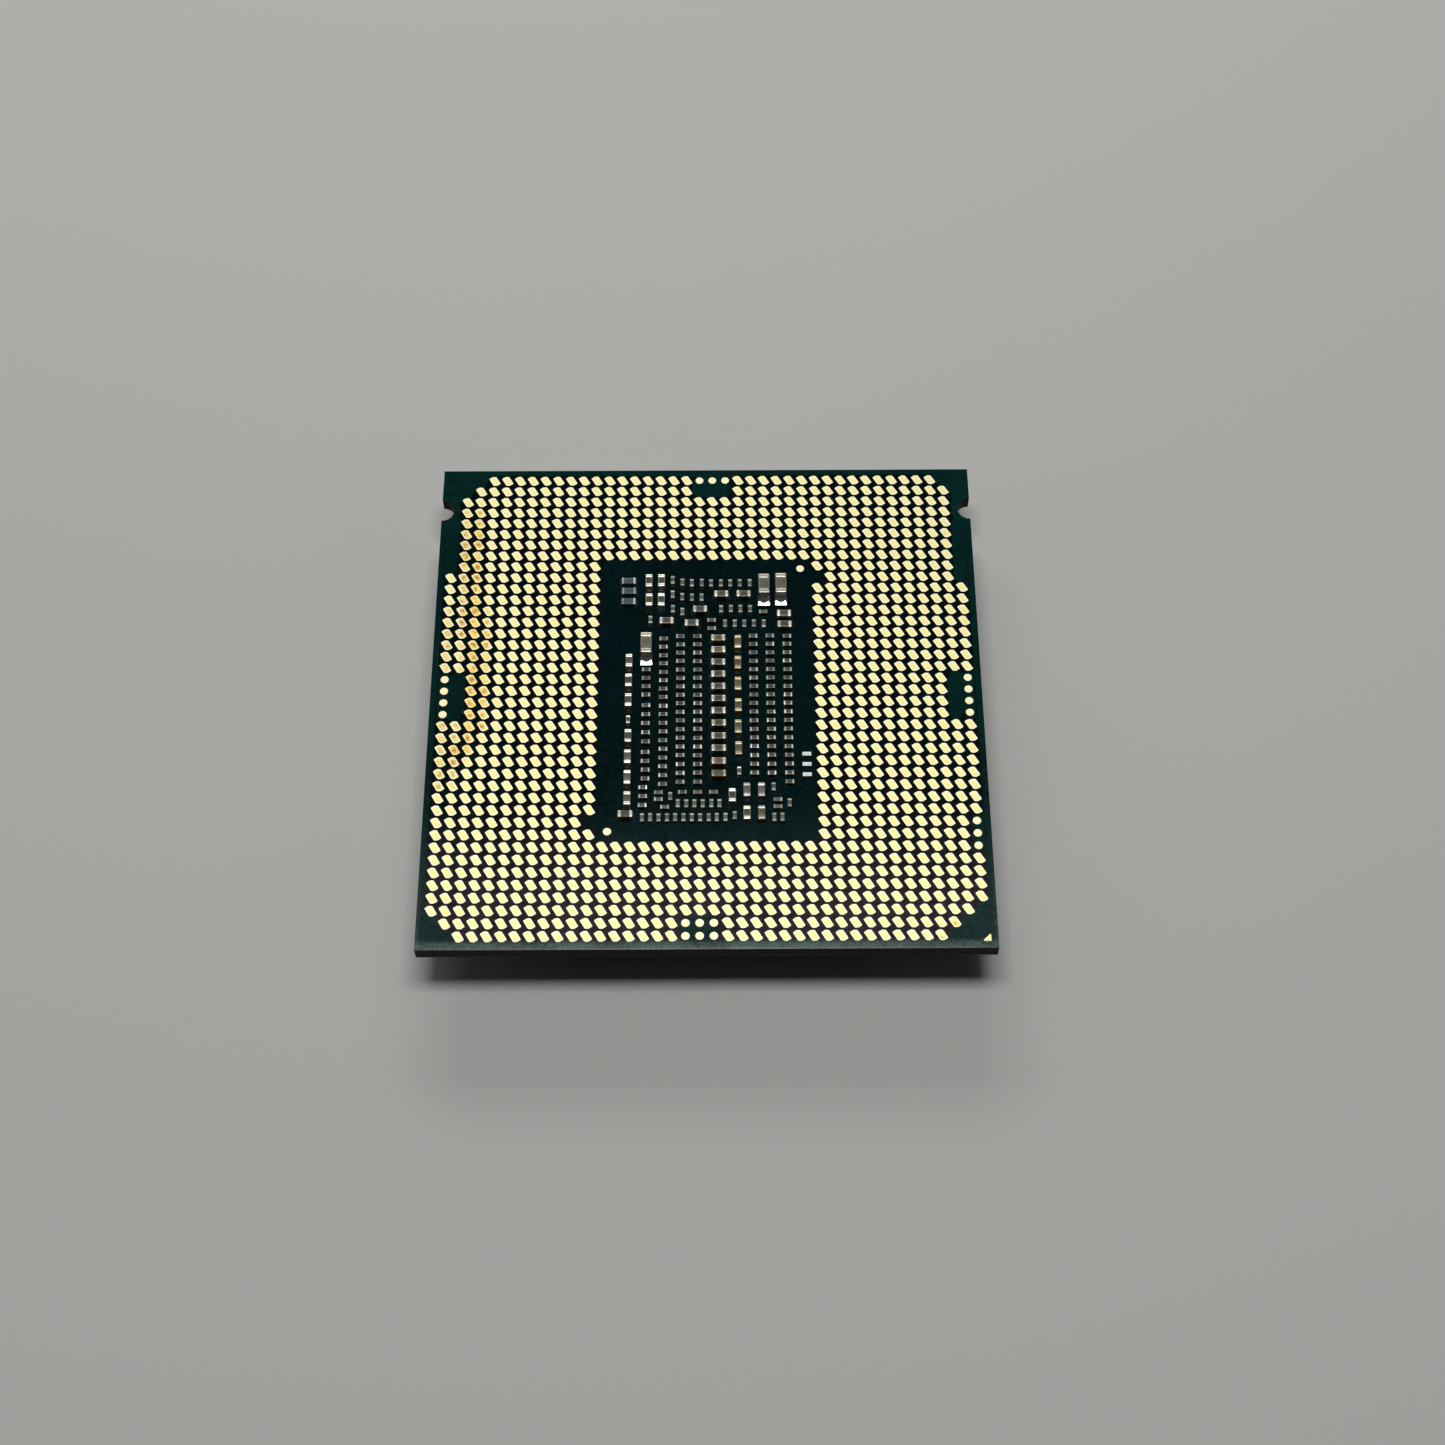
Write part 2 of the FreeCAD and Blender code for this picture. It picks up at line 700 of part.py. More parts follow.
for thing in doc.Objects:
    broken = "Invalid" in thing.State or "Error" in thing.State
    assert not broken, f"{thing.Name} failed: {thing.State}"
labels = [piece.Label for piece in sub_parts]
assert len(set(labels)) == len(labels), "two sub-parts share a label"
for piece in sub_parts:
    assert not piece.Shape.isNull() and piece.Shape.isValid(), f"{piece.Label} has no valid shape"

os.makedirs("parts", exist_ok=True)
for piece in sub_parts:
    piece.Shape.exportStep(os.path.join("parts", piece.Label + ".step"))
print(f"{len(sub_parts)} sub-parts, {land_count} contact lands, {chip_count} chip parts")
print(f"land side at {land_side:.3f} mm")
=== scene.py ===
import json
import math
import random

import bpy
import numpy as np
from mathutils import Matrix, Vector
from mathutils.geometry import delaunay_2d_cdt


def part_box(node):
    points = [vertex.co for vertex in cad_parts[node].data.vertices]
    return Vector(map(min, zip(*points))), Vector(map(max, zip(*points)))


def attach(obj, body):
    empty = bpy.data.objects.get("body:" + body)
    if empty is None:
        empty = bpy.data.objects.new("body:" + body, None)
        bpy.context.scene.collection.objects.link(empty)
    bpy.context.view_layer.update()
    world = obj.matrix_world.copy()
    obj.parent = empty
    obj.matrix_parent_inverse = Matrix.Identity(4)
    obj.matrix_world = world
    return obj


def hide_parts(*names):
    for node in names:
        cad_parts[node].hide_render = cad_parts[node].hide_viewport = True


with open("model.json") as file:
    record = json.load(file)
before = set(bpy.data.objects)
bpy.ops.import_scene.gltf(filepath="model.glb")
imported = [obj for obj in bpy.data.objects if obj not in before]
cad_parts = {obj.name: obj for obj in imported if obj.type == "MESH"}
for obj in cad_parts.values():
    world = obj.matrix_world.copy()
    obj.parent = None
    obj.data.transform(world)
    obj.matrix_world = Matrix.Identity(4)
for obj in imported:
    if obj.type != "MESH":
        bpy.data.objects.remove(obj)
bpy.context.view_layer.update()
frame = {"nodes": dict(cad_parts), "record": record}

# The processor's looks: contact lands in an opened solder mask, chip parts with
# wrapped terminals and solder fillets, the laminate's edge and the plated lid.
# Everything is in metres; MM turns millimetres into metres.

MM = 0.001
LAND_PITCH = 0.9144  # in millimetres
chance = random.Random(11)


# ---------------------------------------------------------------- materials

def tone(red, green, blue):
    """A display colour, 0 to 255, as linear RGBA."""
    linear = []
    for value in (red, green, blue):
        part = value / 255
        linear.append(part / 12.92 if part <= 0.04045 else ((part + 0.055) / 1.055) ** 2.4)
    return (*linear, 1.0)


class Paint:
    """A procedural material, with short calls that add its nodes."""

    def __init__(self, name, metallic=0.0, roughness=0.5, specular=0.5):
        self.material = bpy.data.materials.new(name)
        self.material.use_nodes = True
        self.tree = self.material.node_tree
        self.shader = self.tree.nodes["Principled BSDF"]
        self.set("Metallic", metallic)
        self.set("Roughness", roughness)
        self.set("Specular IOR Level", specular)
        here = self.add("ShaderNodeTexCoord").outputs["Object"]
        scaled = self.add("ShaderNodeVectorMath", {0: here, "Scale": 1 / MM}, operation="SCALE")
        self.where = scaled.outputs[0]
        self.geometry = self.add("ShaderNodeNewGeometry")
        split = self.add("ShaderNodeSeparateXYZ", {0: self.where})
        self.x, self.y, self.z = split.outputs

    def feed(self, socket, value):
        """Links an output to a socket, or sets the socket to a plain value."""
        if isinstance(value, bpy.types.NodeSocket):
            self.tree.links.new(value, socket)
        else:
            socket.default_value = value

    def add(self, kind, inputs=None, **settings):
        """A new node with its inputs fed and its settings set."""
        node = self.tree.nodes.new(kind)
        for key, value in settings.items():
            setattr(node, key, value)
        for key, value in (inputs or {}).items():
            self.feed(node.inputs[key], value)
        return node

    def set(self, socket, value):
        self.feed(self.shader.inputs[socket], value)

    def each(self):
        """A random number of its own for every separate solid."""
        return self.geometry.outputs["Random Per Island"]

    def noise(self, per_mm, detail=2.0, stretch=None):
        """Cloudy noise with so many features to the millimetre."""
        where = self.where
        if stretch:
            where = self.add("ShaderNodeVectorMath", {0: where, 1: stretch}, operation="MULTIPLY").outputs[0]
        inputs = {"Vector": where, "Scale": per_mm, "Detail": detail}
        return self.add("ShaderNodeTexNoise", inputs).outputs[0]

    def spots(self, per_mm):
        """Distance to the nearest of scattered points."""
        return self.add("ShaderNodeTexVoronoi", {"Vector": self.where, "Scale": per_mm}).outputs["Distance"]

    def maths(self, operation, left, right=0.0):
        """One maths node's result, for an operation such as ADD."""
        return self.add("ShaderNodeMath", {0: left, 1: right}, operation=operation).outputs[0]

    def fade(self, value, start, end, low=0.0, high=1.0):
        """Smoothly from low at start to high at end."""
        inputs = {"Value": value, "From Min": start, "From Max": end, "To Min": low, "To Max": high}
        return self.add("ShaderNodeMapRange", inputs, interpolation_type="SMOOTHSTEP").outputs[0]

    def mix(self, share, under, over):
        """One colour over another, by a share from 0 to 1."""
        return self.add("ShaderNodeMix", {0: share, 6: under, 7: over}, data_type="RGBA").outputs[2]

    def bump(self, height, depth_mm, strength):
        """Fine relief from a height, so many millimetres deep."""
        inputs = {"Height": height, "Distance": depth_mm * MM, "Strength": strength}
        self.set("Normal", self.add("ShaderNodeBump", inputs).outputs[0])

    def near(self, x, y, radius):
        """1 at a plan point in millimetres, falling to 0 at a radius."""
        across = self.maths("POWER", self.maths("SUBTRACT", self.x, x), 2.0)
        along = self.maths("POWER", self.maths("SUBTRACT", self.y, y), 2.0)
        distance = self.maths("SQRT", self.maths("ADD", across, along))
        return self.fade(distance, radius, 0.0)

    def from_land_centre(self):
        """Distance in millimetres to the middle of the land grid's cell."""
        squares = []
        for along in (self.x, self.y):
            cell = self.maths("FRACT", self.maths("DIVIDE", along, LAND_PITCH))
            offset = self.maths("MULTIPLY", self.maths("SUBTRACT", cell, 0.5), LAND_PITCH)
            squares.append(self.maths("POWER", self.maths("ABSOLUTE", offset), 2.0))
        return self.maths("SQRT", self.maths("ADD", *squares))


# Browned places away from the band: x, y and radius in millimetres, strength.
TARNISH_SPOTS = [
    (16.0, -17.6, 1.1, 0.9),
    (15.0, -18.3, 0.9, 0.6),
    (18.3, 6.4, 1.5, 0.35),
    (17.4, 12.5, 2.5, 0.25),
]


def tarnish(paint):
    """How far the gold has browned: a wandering band down the left columns and a few small spots."""
    inwards = paint.fade(paint.y, 10.0, 3.0, 0.0, 0.7)
    outwards = paint.fade(paint.y, -1.5, -6.0, 0.0, 1.5)
    middle = paint.maths("ADD", paint.maths("SUBTRACT", inwards, outwards), -16.55)
    distance = paint.maths("ABSOLUTE", paint.maths("SUBTRACT", paint.x, middle))
    band = paint.fade(distance, 1.6, 0.2)
    back_end = paint.fade(paint.y, 18.0, 12.0, 0.0, 0.95)
    reach = paint.maths("MULTIPLY", paint.fade(paint.y, -9.0, -3.5), back_end)
    edge_column = paint.fade(paint.x, -16.4, -17.8, 0.0, 0.6)
    lower = paint.maths("MULTIPLY", paint.fade(paint.y, 9.0, 5.0), edge_column)
    lower = paint.maths("MULTIPLY", lower, paint.fade(paint.y, -9.5, -5.0))
    amount = paint.maths("MAXIMUM", paint.maths("MULTIPLY", band, reach), lower)
    for x, y, radius, strength in TARNISH_SPOTS:
        spot = paint.maths("MULTIPLY", paint.near(x, y, radius), strength)
        amount = paint.maths("MAXIMUM", amount, spot)
    cloud = paint.fade(paint.noise(1.3, 3.0), 0.25, 0.75, 0.45, 1.15)
    return paint.maths("MULTIPLY", amount, cloud)


def gold(name, pale, deep, wear=1.0):
    """Thin gold over nickel: satin, speckled, each land a little different, browned in places."""
    paint = Paint(name, metallic=0.5)
    grain = paint.fade(paint.noise(16.0, 3.0), 0.35, 0.7)
    colour = paint.mix(grain, tone(*pale), tone(*deep))
    colour = paint.mix(paint.fade(paint.each(), 0.0, 1.0, 0.0, 0.16), colour, tone(250, 234, 168))
    # Painted light: the lands turn paler towards the back.
    paler_back_painted_light = paint.fade(paint.y, -8.0, 18.0, 0.0, 0.20)
    colour = paint.mix(paler_back_painted_light, colour, tone(248, 232, 176))
    worn = paint.maths("MULTIPLY", tarnish(paint), wear)
    inner = paint.fade(paint.x, -16.9, -16.2)
    browned = paint.mix(inner, tone(238, 212, 132), tone(246, 211, 94))
    colour = paint.mix(paint.fade(worn, 0.02, 0.5, 0.0, 0.8), colour, browned)
    colour = paint.mix(paint.fade(worn, 0.5, 1.0, 0.0, 0.6), colour, tone(236, 184, 76))
    heart = paint.fade(paint.from_land_centre(), 0.30, 0.08)
    smudge = paint.maths("MULTIPLY", paint.fade(paint.noise(2.6, 2.0), 0.42, 0.62), heart)
    smudge = paint.maths("MULTIPLY", smudge, paint.fade(worn, 0.1, 0.6, 0.0, 0.85))
    colour = paint.mix(smudge, colour, tone(176, 124, 52))
    paint.set("Base Color", colour)
    paint.set("Roughness", paint.fade(paint.noise(9.0), 0.3, 0.7, 0.44, 0.56))
    paint.bump(paint.noise(22.0, 4.0), 0.004, 0.5)
    return paint.material


def mask_ink(name, inner, outer, front, gloss):
    """Glossy solder mask: dark inside, greener at the rim, with orange peel; greyer towards the front, a
    painted reflection, and lighter along the front edge, a painted highlight.
    """
    paint = Paint(name, specular=0.3)
    across = paint.maths("ABSOLUTE", paint.x)
    along = paint.maths("ABSOLUTE", paint.y)
    rim = paint.fade(paint.maths("MAXIMUM", across, along), 11.0, 17.8)
    colour = paint.mix(rim, tone(*inner), tone(*outer))
    # Painted reflection: the mask turns greyer towards the front.
    colour = paint.mix(paint.fade(paint.y, -7.0, -17.0), colour, tone(*front))
    # Painted highlight: a lighter strip along the front edge.
    colour = paint.mix(paint.fade(paint.y, -18.0, -18.45, 0.0, 0.75), colour, tone(108, 126, 118))
    cloud = paint.fade(paint.noise(0.35, 4.0), 0.3, 0.7, 0.0, 0.35)
    fine = paint.fade(paint.noise(6.0, 3.0), 0.35, 0.65, 0.0, 0.3)
    colour = paint.mix(paint.maths("ADD", cloud, fine), colour, tone(0, 8, 9))
    paint.set("Base Color", colour)
    paint.set("Roughness", paint.fade(paint.noise(2.5, 3.0), 0.3, 0.7, gloss, gloss + 0.06))
    paint.bump(paint.noise(3.0, 3.0), 0.003, 0.3)
    return paint.material


def laminate(name, resin, glass):
    """The sawn edge of glass cloth in resin: thin flattened fibres in rows."""
    paint = Paint(name, roughness=0.62, specular=0.15)
    fibres = paint.noise(7.0, 4.0, stretch=(0.35, 0.35, 4.0))
    bundles = paint.fade(paint.noise(1.6, 2.0, stretch=(1.0, 1.0, 5.0)), 0.42, 0.60)
    colour = paint.mix(paint.fade(fibres, 0.4, 0.68), tone(*resin), tone(*glass))
    colour = paint.mix(paint.maths("MULTIPLY", bundles, 0.45), colour, tone(*resin))
    paint.set("Base Color", colour)
    paint.bump(fibres, 0.02, 0.6)
    return paint.material


def nickel():
    """Nickel plate on stamped copper: fine directionless grain and soft stains."""
    paint = Paint("nickel_plate", metallic=1.0)
    cloud = paint.fade(paint.noise(0.22, 4.0), 0.3, 0.7)
    colour = paint.mix(cloud, tone(176, 175, 170), tone(196, 195, 190))
    specks = paint.fade(paint.spots(5.0), 0.10, 0.02, 0.0, 0.5)
    colour = paint.mix(specks, colour, tone(128, 124, 116))
    paint.set("Base Color", colour)
    grain = paint.noise(18.0, 4.0, stretch=(1.0, 0.25, 1.0))
    paint.set("Roughness", paint.fade(grain, 0.3, 0.7, 0.26, 0.42))
    paint.bump(grain, 0.006, 0.5)
    return paint.material


def metal(name, light, dull, low, high, metallic=0.9, relief=0.006):
    """Plated or reflowed metal that varies from one solid to the next."""
    paint = Paint(name, metallic=metallic)
    colour = paint.mix(paint.each(), tone(*dull), tone(*light))
    colour = paint.mix(paint.fade(paint.noise(14.0, 3.0), 0.4, 0.75, 0.0, 0.45), colour, tone(*dull))
    paint.set("Base Color", colour)
    paint.set("Roughness", paint.fade(paint.noise(9.0), 0.3, 0.7, low, high))
    paint.bump(paint.noise(20.0, 3.0), relief, 0.5)
    return paint.material


# How a ceramic's lines run: as stacked layers, or across its top along X or along Y.
LAYERED, ALONG_X, ALONG_Y = (0.2, 0.2, 6.0), (0.3, 1.6, 0.3), (1.6, 0.3, 0.3)


def ceramic(name, light, dark, lines):
    """Fired ceramic: satin, mottled, with the faint lines of its layers or of its grinding."""
    paint = Paint(name, roughness=0.4, specular=0.4)
    colour = paint.mix(paint.each(), tone(*dark), tone(*light))
    mottle = paint.fade(paint.noise(11.0, 4.0), 0.35, 0.7, 0.0, 0.4)
    colour = paint.mix(mottle, colour, tone(*dark))
    layers = paint.noise(10.0, 1.0, stretch=lines)
    colour = paint.mix(paint.fade(layers, 0.52, 0.66, 0.0, 0.45), colour, tone(*[0.5 * c for c in dark]))
    paint.set("Base Color", colour)
    paint.bump(layers, 0.006, 0.5)
    return paint.material


def painted_edge_highlight(name, pale):
    """A ceramic's edges painted paler than its faces: a painted highlight where the rounded edges catch the
    light.
    """
    return film(name, pale, tuple(0.82 * c for c in pale), 0.35, 12.0)


def film(name, light, dark, roughness, per_mm):
    """Any other matt or satin coat: two tones in soft noise with a fine relief."""
    paint = Paint(name, roughness=roughness, specular=0.4)
    grain = paint.noise(per_mm, 4.0)
    paint.set("Base Color", paint.mix(paint.fade(grain, 0.3, 0.7), tone(*dark), tone(*light)))
    paint.bump(grain, 0.01, 0.5)
    return paint.material


MATERIALS = {
    "land": gold("land_gold", (251, 243, 168), (241, 230, 147)),
    # The rim's paler gold is a painted highlight on the land's edge; it browns less than the middle too.
    "land_rim": gold("land_rim", (255, 254, 224), (253, 249, 206), wear=0.4),
    "test_land": gold("test_land_gold", (255, 250, 206), (250, 240, 184), wear=0.35),
    # Each mask's fourth tone is the painted reflection towards the front.
    "mask": mask_ink("mask_teal", (2, 26, 28), (6, 46, 42), (34, 62, 60), 0.12),
    "mask_field": mask_ink("mask_over_copper", (12, 11, 13), (4, 17, 15), (56, 47, 50), 0.14),
    # The darker ink at each opening's edge is painted shade.
    "mask_edge": mask_ink("mask_edge", (8, 8, 6), (4, 10, 8), (26, 22, 16), 0.3),
    "core": laminate("glass_epoxy", (22, 11, 4), (42, 24, 10)),
    "buildup": laminate("buildup_resin", (15, 9, 4), (26, 17, 8)),
    "nickel": nickel(),
    "copper": metal("copper", (200, 130, 92), (150, 86, 58), 0.3, 0.5),
    "tin": metal("tin", (232, 230, 212), (194, 192, 174), 0.30, 0.42, metallic=0.8),
    "tin_smooth": metal(
        "tin_smooth", (200, 198, 182), (172, 170, 156), 0.30, 0.37, metallic=0.75, relief=0.003
    ),
    "tin_dull": metal("tin_dull", (208, 211, 198), (116, 118, 110), 0.32, 0.46, metallic=0.8),
    "tin_grey": metal("tin_grey", (160, 164, 150), (112, 115, 106), 0.44, 0.56, metallic=0.8),
    "tin_warm": metal("tin_warm", (188, 177, 140), (138, 128, 96), 0.30, 0.42, metallic=0.8),
    "solder": metal("solder", (240, 241, 238), (196, 197, 194), 0.07, 0.15, relief=0.0015),
    # A rougher solder whose darker tone is painted shade, for the joints in the shade between chip parts.
    "solder_dull": metal("solder_dull", (112, 113, 108), (78, 79, 75), 0.34, 0.5),
    "ceramic_plain": ceramic("ceramic_plain", (96, 97, 86), (70, 71, 62), LAYERED),
    "alumina": ceramic("alumina", (116, 124, 116), (84, 92, 88), LAYERED),
    "glaze": film("resistor_glaze", (66, 96, 102), (46, 70, 78), 0.3, 6.0),
    "silicon": film("silicon", (62, 65, 72), (48, 50, 57), 0.18, 0.5),
    "underfill": film("underfill", (22, 22, 26), (12, 12, 15), 0.35, 2.0),
    "paste": film("thermal_compound", (150, 150, 152), (126, 126, 128), 0.6, 3.0),
    "sealant": film("sealant", (26, 26, 27), (14, 14, 15), 0.55, 3.0),
    "ink": film("printed_ink", (246, 249, 242), (222, 228, 220), 0.6, 9.0),
}

# Ceramics whose edges are painted paler, a painted highlight: light tone, dark tone, edge tone and lines.
PAINTED_EDGE_HIGHLIGHT_CERAMICS = {
    "ceramic_grey": ((82, 82, 70), (52, 52, 44), (116, 116, 102), ALONG_X),
    "ceramic_small": ((62, 65, 57), (34, 36, 31), (142, 147, 134), ALONG_Y),
    "ceramic_brown": ((70, 68, 54), (46, 44, 35), (168, 164, 144), ALONG_Y),
    "ceramic_large": ((116, 113, 96), (92, 89, 74), (138, 135, 118), ALONG_X),
    "ceramic_tan": ((106, 92, 62), (80, 68, 44), (204, 190, 158), ALONG_Y),
    "ceramic_pink": ((112, 82, 70), (88, 62, 52), (186, 166, 150), ALONG_Y),
    "ceramic_olive": ((98, 90, 66), (72, 65, 46), (122, 112, 84), ALONG_X),
    "ceramic_taupe": ((100, 97, 82), (78, 75, 62), (118, 114, 98), ALONG_X),
}
for name, (light, dark, edge, lines) in PAINTED_EDGE_HIGHLIGHT_CERAMICS.items():
    MATERIALS[name] = ceramic(name, light, dark, lines)
    # The edge material is a painted highlight, paler than the faces.
    MATERIALS[name + "_edge"] = painted_edge_highlight(name + "_edge", edge)


# ---------------------------------------------------------------- mesh making

class Build:
    """Vertices and faces of one piece, with a material name for each face."""

    def __init__(self):
        self.points = []
        self.faces = []
        self.paints = []

    def ring(self, plan, height):
        """Adds a closed ring of plan points at one height, or one height for each; returns its numbers."""
        first = len(self.points)
        heights = height if isinstance(height, (list, tuple)) else [height] * len(plan)
        self.points += [(x, y, z) for (x, y), z in zip(plan, heights)]
        return list(range(first, len(self.points)))

    def face(self, corners, paint):
        self.faces.append(tuple(corners))
        self.paints.append(paint)

    def bridge(self, lower, upper, paint):
        """A band of quads from one anticlockwise ring up or inwards to the next."""
        count = len(lower)
        for k in range(count):
            n = (k + 1) % count
            self.face((lower[k], lower[n], upper[n], upper[k]), paint)

    def fan(self, ring, centre, paint):
        """Triangles from an anticlockwise ring to a point in its middle."""
        self.points.append(centre)
        tip = len(self.points) - 1
        for k in range(len(ring)):
            self.face((ring[k], ring[(k + 1) % len(ring)], tip), paint)

    def floor(self, ring, paint):
        """Closes the underside."""
        self.face(ring[::-1], paint)

    def piece(self, name, nodes, slot, smooth=35.0):
        """Makes the object, puts it on the root body and lets it stand for its CAD nodes."""
        mesh = bpy.data.meshes.new(name)
        mesh.from_pydata(self.points, [], self.faces)
        used = sorted(set(self.paints))
        for paint in used:
            mesh.materials.append(MATERIALS[paint])
        mesh.polygons.foreach_set("material_index", [used.index(paint) for paint in self.paints])
        mesh.polygons.foreach_set("use_smooth", [True] * len(self.faces))
        mesh.set_sharp_from_angle(angle=math.radians(smooth))
        mesh.update()
        made = bpy.data.objects.new(name, mesh)
        bpy.context.scene.collection.objects.link(made)
        shading = made.modifiers.new("flat_faces_stay_flat", "WEIGHTED_NORMAL")
        shading.mode = "FACE_AREA"
        shading.keep_sharp = True
        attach(made, "root")
        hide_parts(*nodes)
        return made


def solids(node):
    """The boxes of a CAD node's separate solids as (low corner, high corner), from the front left."""
    mesh = frame["nodes"][node].data
    merge_grid = 1e-7
    owner, leader = {}, []
    numbers = []
    for vertex in mesh.vertices:
        key = tuple(round(c / merge_grid) for c in vertex.co)
        if key not in owner:
            owner[key] = len(leader)
            leader.append(len(leader))
        numbers.append(owner[key])

    def top(k):
        while leader[k] != k:
            leader[k] = leader[leader[k]]
            k = leader[k]
        return k

    for polygon in mesh.polygons:
        ends = [numbers[v] for v in polygon.vertices]
        for other in ends[1:]:
            leader[top(other)] = top(ends[0])
    groups = {}
    for vertex, number in zip(mesh.vertices, numbers):
        groups.setdefault(top(number), []).append(vertex.co)
    boxes = []
    for group in groups.values():
        corners = np.array(group)
        boxes.append((corners.min(0), corners.max(0)))
    boxes.sort(key=lambda box: (round(box[0][1], 5), round(box[0][0], 5)))
    return boxes


def centre_of(box):
    return (box[0] + box[1]) / 2


def half_width(box):
    """Half of a box's size along X: the radius of a disc's box."""
    return (box[1][0] - box[0][0]) / 2


def rounded_outline(corners, radii, steps):
    """A closed anticlockwise outline whose corners are arcs of so many points."""
    points = []
    count = len(corners)
    for k in range(count):
        here = Vector(corners[k])
        before = (Vector(corners[k - 1]) - here).normalized()
        after = (Vector(corners[(k + 1) % count]) - here).normalized()
        half_angle = before.angle(after) / 2
        middle = here + (before + after).normalized() * (radii[k] / math.sin(half_angle))
        start = here + before * (radii[k] / math.tan(half_angle)) - middle
        turn = math.pi - 2 * half_angle
        for step in range(steps):
            angle = turn * step / (steps - 1)
            cosine, sine = math.cos(angle), math.sin(angle)
            points.append((
                middle.x + start.x * cosine - start.y * sine,
                middle.y + start.x * sine + start.y * cosine,
            ))
    return points


def grown(outline, distance):
    """An outline pushed outwards by a distance."""
    count = len(outline)
    result = []
    for k in range(count):
        before, here, after = Vector(outline[k - 1]), Vector(outline[k]), Vector(outline[(k + 1) % count])
        arriving = (here - before).normalized()
        along = (arriving + (after - here).normalized()).normalized()
        reach = distance / along.dot(arriving)
        result.append((here.x + along.y * reach, here.y - along.x * reach))
    return result


def moved(outline, centre):
    """An outline carried from the origin to a centre."""
    return [(x + centre[0], y + centre[1]) for x, y in outline]


# ---------------------------------------------------------------- heights and outlines

board_low, board_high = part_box("solder_mask_land_side")
half_board = board_high.x
mask_low = board_low.z
MASK_TOP = mask_low + 0.036 * MM
LAND_TOP = mask_low + 0.029 * MM

# Half of a contact land's corners, anticlockwise from the right, with their radii in millimetres.
# The other half is these, half turned.
LAND_HALF = [(0.420, -0.206, 0.045), (0.078, 0.374, 0.085), (-0.165, 0.374, 0.085)]
LAND_CORNERS = [(x * MM, y * MM) for x, y, _ in LAND_HALF + [(-x, -y, r) for x, y, r in LAND_HALF]]
LAND_RADII = [r * MM for _, _, r in LAND_HALF] * 2
MARKER_RADIUS = 0.05 * MM
LEAST_RADIUS = 0.02 * MM


def inset_outline(corners, radii, steps, inset):
    """A rounded outline drawn in by an inset, without folding where the inset passes a radius."""
    return rounded_outline(grown(corners, -inset), [max(r - inset, LEAST_RADIUS) for r in radii], steps)


def land_outline(steps, inset=0.0):
    """A contact land's outline about its centre."""
    return inset_outline(LAND_CORNERS, LAND_RADII, steps, inset)


def disc_outline(radius, count):
    """A circle about the origin as so many points."""
    angles = [math.tau * k / count for k in range(count)]
    return [(radius * math.cos(angle), radius * math.sin(angle)) for angle in angles]


def marker_outline(box, inset=0.0):
    """The pin-one triangle's outline about its box's centre."""
    half = half_width(box)
    return inset_outline([(-half, -half), (half, -half), (half, half)], [MARKER_RADIUS] * 3, 4, inset)


LAND_NODES = ["lands_back", "lands_front", "lands_left", "lands_right"]
land_centres = {node: [centre_of(box) for box in solids(node)] for node in LAND_NODES}
test_boxes = solids("test_lands")
mark_boxes = solids("alignment_marks")
marker_box = solids("pin_one_marker_land_side")[0]


# ---------------------------------------------------------------- lands

# How far a land runs under the mask, how much lands differ in height, and how their middles sink.
LAND_TUCK = 0.012 * MM
LAND_LIFT = 0.0015 * MM
RIM_SINK, DISH_SINK, MIDDLE_SINK = 0.001 * MM, 0.0035 * MM, 0.004 * MM


def add_land(build, outline, centre, rim=0.085 * MM, dish=0.15 * MM, paint="land"):
    """One plated land, from its outline as a function of an inset: a rim painted paler as a highlight, a
    faintly dished middle.
    """
    top = LAND_TOP + chance.uniform(-LAND_LIFT, LAND_LIFT)
    outer = moved(outline(-LAND_TUCK), centre)
    foot = build.ring(outer, mask_low)
    edge = build.ring(outer, top)
    inner = build.ring(moved(outline(rim), centre), top - RIM_SINK)
    bowl = build.ring(moved(outline(dish), centre), top - DISH_SINK)
    build.floor(foot, paint)
    build.bridge(foot, edge, paint)
    # The rim ring takes the paler gold, a painted highlight.
    build.bridge(edge, inner, "land_rim")
    build.bridge(inner, bowl, paint)
    build.fan(bowl, (centre[0], centre[1], top - MIDDLE_SINK), paint)


def contact_land(inset):
    return land_outline(4, inset)


def marker_land(inset):
    return marker_outline(marker_box, inset)


def add_round_land(build, box):
    """A test land or alignment mark in its CAD box."""
    def disc(inset):
        return disc_outline(half_width(box) - inset, 32)

    add_land(build, disc, centre_of(box), rim=0.05 * MM, dish=0.1 * MM, paint="test_land")


def lands():
    """The contact lands, the round lands and the pin-one triangle."""
    for node in LAND_NODES:
        build = Build()
        for centre in land_centres[node]:
            add_land(build, contact_land, centre)
        build.piece(node + "_plated", [node], "land_gold")
    for name, node, boxes in (
        ("round_test_lands", "test_lands", test_boxes),
        ("round_alignment_marks", "alignment_marks", mark_boxes),
    ):
        build = Build()
        for box in boxes:
            add_round_land(build, box)
        build.piece(name, [node], "land_gold")
    build = Build()
    add_land(build, marker_land, centre_of(marker_box), rim=0.03 * MM, dish=0.05 * MM)
    build.piece("pin_one_triangle", ["pin_one_marker_land_side"], "land_gold")


# ---------------------------------------------------------------- solder mask

NOTCH_RADIUS = 0.88 * MM
NOTCH_Y = 15.35 * MM
NOTCH_STEPS = 14

# The film thins towards the board's outline: widely at the front, narrowly elsewhere.
ROLL_STEPS = (0.008, 0.02, 0.04, 0.08, 0.14, 0.20, 0.27, 0.34, 0.42)
FRONT_ROLL, OTHER_ROLL = 0.42, 0.04
ROLL_DROP = 0.030 * MM

# Each opening's edge slopes, and the band of painted shade about it ends a little further out.
OPENING_DROP = 0.006 * MM
OPENING_SLOPE, OPENING_SHADE_BAND = 0.010 * MM, 0.031 * MM
FIELD_REACH = 0.52 * MM


